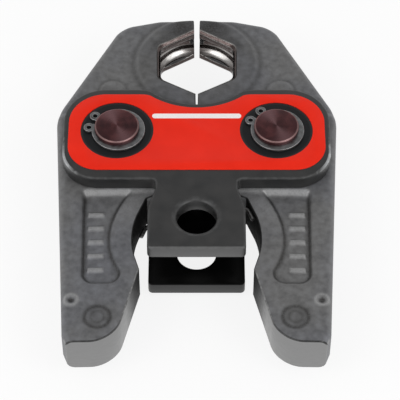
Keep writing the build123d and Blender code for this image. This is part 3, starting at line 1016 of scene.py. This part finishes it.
POST_CHAMFER = 0.4 * mm
half_post = [(POST_R, 0), (POST_R, post_high.z - POST_CHAMFER), (POST_R - POST_CHAMFER, post_high.z)]
post_profile = [(radius, -z) for radius, z in reversed(half_post)] + half_post[1:]
post = turned("spring_post_turned", 0, POST_Y, post_profile, 48)
smooth(post)
oiled, tree, shader = new_finish("oiled_steel", grey(0.2), 0.9, 0.3)
lathe_marks = cloud(tree, object_place(tree, stretch=(1, 1, 10)), 3 * mm, 3)
turned_skin = tint(tree, lathe_marks, (0.3, grey(0.13, 0.03)), (0.7, grey(0.24)))
tree.links.new(turned_skin, shader.inputs["Base Color"])
tree.links.new(span(tree, lathe_marks, 0.3, 0.7, 0.22, 0.4), shader.inputs["Roughness"])
post.data.materials.append(oiled)
dress(post, "side_plates", "pin_steel", "spring_post")


# Closing spring
# A leg spring wound from round wire. Its coil hangs on the post, and each leg presses an arm
# near its throat, so that the mouth stays shut when nobody holds the arms.

WIRE_R = 0.8 * mm
COIL_R = 3.6 * mm
COIL_PITCH = 1.75 * mm
COIL_TURNS = 4
FOOT_LENGTH = 4.5 * mm
FOOT_GAP = 0.1 * mm
KNEE_R = 2.0 * mm
WIRE_END_ROUND = 0.15 * mm
COIL_Y = POST_Y + COIL_R - WIRE_R - POST_R
throat = Vector(rest_point(THROAT_HIGH))
along = (throat - Vector(rest_point(boss_corner))).normalized()
foot_end = throat + Vector((along.y, -along.x)) * (WIRE_R + FOOT_GAP)
knee = foot_end - along * FOOT_LENGTH
reach = hypot(knee.x, knee.y - COIL_Y)
heading = atan2(knee.y - COIL_Y, knee.x) + asin(COIL_R / reach)
leave = heading - pi / 2
half_turns = pi * COIL_TURNS + leave + pi / 2
climb = COIL_PITCH / (tau * COIL_R)

deselect()
bpy.ops.mesh.primitive_circle_add(
    vertices=16, radius=WIRE_R, location=(0, -COIL_R, 0), rotation=(0, pi / 2, 0)
)
right_leg = bpy.context.object
right_leg.name = right_leg.data.name = "spring_right_half"
bpy.ops.object.transform_apply(location=True, rotation=True)
wind = right_leg.modifiers.new("wind", "SCREW")
wind.angle = half_turns
wind.screw_offset = COIL_PITCH * half_turns / tau
wind.steps = wind.render_steps = 72
wind.use_merge_vertices = True
bpy.ops.object.modifier_apply(modifier="wind")
right_leg.location.y = COIL_Y
bpy.ops.object.transform_apply(location=True)


def pick_near(piece, place):
    """Select the ring of points that the wire has about a place on its centre line, in edit mode."""
    pick(piece, lambda v: (v.co - Vector(place)).length < 1.03 * WIRE_R, "verts")
    bpy.ops.mesh.select_mode(type="EDGE")


outward = Vector((cos(heading), sin(heading)))
bend = atan2(along.y, along.x) - heading
bend_run = KNEE_R * tan(abs(bend) / 2)
coil_end = Vector((COIL_R * cos(leave), COIL_Y + COIL_R * sin(leave)))
straight = (knee - coil_end).length - bend_run
coil_top = COIL_PITCH * half_turns / tau
level = coil_top + climb * (straight + bend_run)
knee_centre = knee - outward * bend_run + Vector((outward.y, -outward.x)) * KNEE_R
LEG_STEPS = 10
bpy.ops.object.mode_set(mode="EDIT")
pick_near(right_leg, (0, COIL_Y - COIL_R, 0))
bpy.ops.mesh.edge_face_add()
pick_near(right_leg, (*coil_end, coil_top))
for step in range(LEG_STEPS):
    move = (*(outward * straight / LEG_STEPS), (level - coil_top) / LEG_STEPS)
    bpy.ops.mesh.extrude_region_move(TRANSFORM_OT_translate={"value": move})
bpy.ops.mesh.spin(steps=6, angle=-bend, center=(*knee_centre, level), axis=(0, 0, 1))
bpy.ops.mesh.extrude_region_move(TRANSFORM_OT_translate={"value": (*(along * (FOOT_LENGTH - bend_run)), 0)})
bpy.ops.mesh.edge_face_add()
bpy.ops.mesh.bevel(offset=WIRE_END_ROUND, segments=2, affect="EDGES")
bpy.ops.mesh.select_all(action="SELECT")
bpy.ops.mesh.remove_doubles(threshold=SAME)
bpy.ops.mesh.normals_make_consistent(inside=False)
bpy.ops.object.mode_set(mode="OBJECT")
smooth(right_leg)

wire, tree, shader = new_finish("spring_wire", grey(0.2), 0.9, 0.32)
drawn = cloud(tree, object_place(tree), 1.1 * mm, 3)
tree.links.new(tint(tree, drawn, (0.3, grey(0.12, 0.04)), (0.7, grey(0.24))), shader.inputs["Base Color"])
tree.links.new(span(tree, drawn, 0.3, 0.7, 0.25, 0.4), shader.inputs["Roughness"])
right_leg.data.materials.append(wire)
left_leg = copied(right_leg, "spring_left_half", (-1, 1, -1))
for leg, body, side in ((right_leg, "right_arm", 1), (left_leg, "left_arm", -1)):
    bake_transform(leg)
    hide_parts("closing_spring")


# Front side plate
# The twin of the rear plate. It is put on last and closes the stack over arms and spring.

front_plate = copied(rear_plate, "front_plate", TO_FRONT)
dress(rear_plate, "side_plates", "black_plate", "rear_side_plate")
dress(front_plate, "side_plates", "black_plate", "front_side_plate")


# Retaining rings
# Four stamped spring steel rings, one in each groove of the pins, with two eyes for the pliers.
# They keep the plates on the pins.

RING_THICK = 1.0 * mm
RING_WALL = 2.0 * mm
RING_OFFSET = 0.5 * mm
RING_EDGE = 0.22 * mm
LUG_AT = 10.1 * mm
LUG_R = 1.95 * mm
LUG_HOLE_R = 0.85 * mm
LUG_HALF_ANGLE = 16.5
LUG_GAP = 1.7 * mm
LUGS_FACE = 139
LEFT_LUGS_FACE = 159


def round_pin(distance, degrees_round):
    """A place at a distance from the right pin's axis, in a direction counted from +X."""
    angle = radians(degrees_round)
    return PIVOT_X + distance * cos(angle), PIVOT_Y + distance * sin(angle)


ring_low, ring_high = FRONT_OUT, FRONT_OUT + RING_THICK
deselect()
bpy.ops.mesh.primitive_cylinder_add(
    vertices=96,
    radius=GROOVE_R + RING_WALL,
    depth=RING_THICK,
    location=(*round_pin(-RING_OFFSET, LUGS_FACE), (ring_low + ring_high) / 2),
)
ring = bpy.context.object
ring.name = ring.data.name = "ring_front_right"
bpy.ops.object.transform_apply(location=True)
lugs = [round_pin(LUG_AT, LUGS_FACE + side * LUG_HALF_ANGLE) for side in (-1, 1)]
for x, y in lugs:
    drill(ring, x, y, LUG_R, ring_low, ring_high, 48, "UNION")
drill(ring, PIVOT_X, PIVOT_Y, GROOVE_R, ring_low - mm, ring_high + mm)
for x, y in lugs:
    drill(ring, x, y, LUG_HOLE_R, ring_low - mm, ring_high + mm, 32)
deselect()
bpy.ops.mesh.primitive_cube_add(
    size=1,
    location=(*round_pin(LUG_AT, LUGS_FACE), ring_low),
    rotation=(0, 0, radians(LUGS_FACE)),
    scale=(2 * LUG_AT - mm, LUG_GAP, 4 * RING_THICK),
)
cut(ring, bpy.context.object)
bpy.ops.object.mode_set(mode="EDIT")
tidy_mesh(ring)
open_slots(ring, 2)
pick(ring, lambda e: is_sharp(e) and not is_upright(e))
bpy.ops.mesh.bevel(offset=RING_EDGE, segments=3, affect="EDGES", material=1)
bpy.ops.object.mode_set(mode="OBJECT")
smooth(ring)

# The rounded edges get a lighter grey than the flat faces: worn metal that also serves as a painted
# highlight.
for number, (name, low, high) in enumerate((("phosphated_ring", 0.13, 0.22), ("ring_edge", 0.2, 0.34))):
    finish, tree, shader = new_finish(name, grey(high), 0.85, 0.36)
    place = object_place(tree)
    mottle = cloud(tree, place, 1.5 * mm, 4)
    skin = tint(tree, mottle, (0.3, grey(low)), (0.7, grey(high, -0.02)))
    tree.links.new(skin, shader.inputs["Base Color"])
    tree.links.new(span(tree, mottle, 0.3, 0.7, 0.28, 0.44), shader.inputs["Roughness"])
    bump(tree, shader, cloud(tree, place, 0.3 * mm, 2), 0.2, 0.03 * mm)
    ring.data.materials[number] = finish


def shifted(piece, name, move):
    """A copy of a piece with its own mesh, moved along."""
    other = copied(piece, name, (1, 1, 1))
    bpy.ops.object.mode_set(mode="EDIT")
    bpy.ops.transform.translate(value=move)
    bpy.ops.object.mode_set(mode="OBJECT")
    return other


other_ring = shifted(ring, "ring_front_left", (-2 * PIVOT_X, 0, 0))
turn(other_ring, radians(LEFT_LUGS_FACE - LUGS_FACE), (-PIVOT_X, PIVOT_Y, 0))
rear_rings = [
    (copied(ring, "ring_rear_right", TO_REAR), "rear_right_circlip"),
    (copied(other_ring, "ring_rear_left", TO_REAR), "rear_left_circlip"),
]
for piece, node in [(ring, "front_right_circlip"), (other_ring, "front_left_circlip"), *rear_rings]:
    dress(piece, "side_plates", "ring_steel", node)


# Front label
# A red printed foil, cut to the shape of the bar and glued to the front plate, with a round
# window about each pin. The print on it is one plain white stripe.

LABEL_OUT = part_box("front_label")[1].z
LABEL_MARGIN = 1.9 * mm
LABEL_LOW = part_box("front_label")[0].y - 0.8 * mm
LABEL_HIGH = BAR_HIGH - 2.8 * mm
LABEL_DIP = BAR_HIGH - DIP_DEPTH - 2.1 * mm
LABEL_WINDOW_R = 13.1 * mm
LABEL_EDGE = 0.12 * mm
right_side = bar_points(LABEL_LOW, LABEL_HIGH, BAR_HALF - LABEL_MARGIN, LABEL_DIP)
low_corner, high_corner, dip_start = right_side
left_side = [(-x, y) for x, y in reversed(right_side)]
dip = ((0, LABEL_DIP), left_side[0], 32)
foil = trace("red_foil", low_corner, [high_corner, dip_start, dip] + left_side[1:], FRONT_OUT)
raise_to(LABEL_OUT - FRONT_OUT)
for corner, radius, segments in (
    (low_corner, BAR_LOW_R - LABEL_MARGIN, 20),
    (high_corner, BAR_HIGH_R - LABEL_MARGIN, 20),
    (dip_start, DIP_BLEND - LABEL_MARGIN, 8),
):
    round_corner(foil, [corner, (-corner[0], corner[1])], radius, segments)
bpy.ops.object.mode_set(mode="OBJECT")
for side in (-1, 1):
    drill(foil, side * PIVOT_X, PIVOT_Y, LABEL_WINDOW_R, FRONT_OUT - mm, LABEL_OUT + mm, 128)
bpy.ops.object.mode_set(mode="EDIT")
tidy_mesh(foil)
pick(foil, lambda e: is_sharp(e) and on_level(e, LABEL_OUT))
bpy.ops.mesh.bevel(offset=LABEL_EDGE, segments=3, affect="EDGES")
bpy.ops.object.mode_set(mode="OBJECT")
smooth(foil)

STRIPE_HALF = 15.0 * mm
STRIPE_Y = 45.4 * mm
STRIPE_R = 1.1 * mm
printed, tree, shader = new_finish("printed_red", (0.78, 0.018, 0.004), 0.0, 0.3)
shader.inputs["Specular IOR Level"].default_value = 0.2
place = object_place(tree)
x, y, z = axes_of(tree, place)
past_half = sum_of(tree, "SUBTRACT", sum_of(tree, "ABSOLUTE", x, 0), STRIPE_HALF)
past_end = sum_of(tree, "MAXIMUM", past_half, 0)
from_line = add(tree, "CombineXYZ")
tree.links.new(past_end, from_line.inputs["X"])
tree.links.new(sum_of(tree, "SUBTRACT", y, STRIPE_Y), from_line.inputs["Y"])
distance = length_of(tree, from_line.outputs["Vector"])
stripe = span(tree, distance, STRIPE_R + 0.06 * mm, STRIPE_R - 0.06 * mm, 0, 1)
fade = cloud(tree, place, 9 * mm, 3)
red = tint(tree, fade, (0.3, (0.75, 0.016, 0.003)), (0.7, (0.81, 0.02, 0.005)))
tree.links.new(mix(tree, stripe, red, (0.86, 0.83, 0.82)), shader.inputs["Base Color"])
tree.links.new(span(tree, cloud(tree, place, 1.5 * mm, 4), 0.3, 0.7, 0.34, 0.4), shader.inputs["Roughness"])
bump(tree, shader, cloud(tree, place, 2.5 * mm, 2), 0.05, 0.05 * mm)
foil.data.materials.append(printed)
dress(foil, "side_plates", "red_label", "front_label")


# Stage
# The jaw lies on a plain white table under soft lamps.

FLOOR_Z = cad_box[0].z
deselect()
bpy.ops.mesh.primitive_plane_add(size=6, location=(0, 0, FLOOR_Z))
floor = bpy.context.object
floor.name = "floor"
floor_paint, tree, shader = new_finish("floor_white", grey(0.94), 0.0, 0.7)
path = add(tree, "LightPath")
glow = add(tree, "Emission", Color=(1, 1, 1, 1), Strength=1.0)
blend = add(tree, "MixShader")
seen = sum_of(tree, "MAXIMUM", path.outputs["Is Camera Ray"], path.outputs["Is Glossy Ray"])
seen = sum_of(tree, "MAXIMUM", seen, path.outputs["Is Transmission Ray"])
tree.links.new(sum_of(tree, "MULTIPLY", seen, 0.85), blend.inputs["Fac"])
tree.links.new(shader.outputs[0], blend.inputs[1])
tree.links.new(glow.outputs[0], blend.inputs[2])
tree.links.new(blend.outputs[0], tree.nodes["Material Output"].inputs["Surface"])
floor.data.materials.append(floor_paint)

world = bpy.data.worlds.new("studio")
bpy.context.scene.world = world
world.use_nodes = True
tree = world.node_tree
background = tree.nodes["Background"]
z = axes_of(tree, add(tree, "TexCoord").outputs["Generated"])[2]
sky = tint(
    tree,
    z,
    (0.0, grey(1.0)),
    (0.25, grey(1.0)),
    (0.5, grey(0.8)),
    (0.8, grey(0.46)),
    (1.0, grey(0.42)),
)
tree.links.new(sky, background.inputs["Color"])


def lamp(name, place, size, power):
    """A square soft box that faces the object."""
    light = bpy.data.lights.new(name, "AREA")
    light.shape = "SQUARE"
    light.size = size
    light.energy = power
    holder = bpy.data.objects.new(name, light)
    bpy.context.scene.collection.objects.link(holder)
    holder.location = place
    holder.rotation_euler = (Vector((0, 0.02, 0)) - Vector(place)).to_track_quat("-Z", "Y").to_euler()


for side, name in ((-1, "left"), (1, "right")):
    lamp(name + "_box", (side * 0.55, -0.4, 0.6), 0.7, 1.5)
    lamp(name + "_spark", (side * 0.5, -0.42, 0.64), 0.3, 0.9)

AIM = Vector((0.0012, 0.00706, 0.01365))
ELEVATION = radians(52)
DISTANCE = 0.7
camera = bpy.data.objects.new("camera", bpy.data.cameras.new("camera"))
bpy.context.scene.collection.objects.link(camera)
camera.data.sensor_width = 36
camera.data.lens = 180
camera.location = AIM + DISTANCE * Vector((0, -cos(ELEVATION), sin(ELEVATION)))
camera.rotation_euler = (pi / 2 - ELEVATION, 0, 0)
bpy.context.scene.camera = camera
bpy.context.scene.view_settings.view_transform = "Standard"
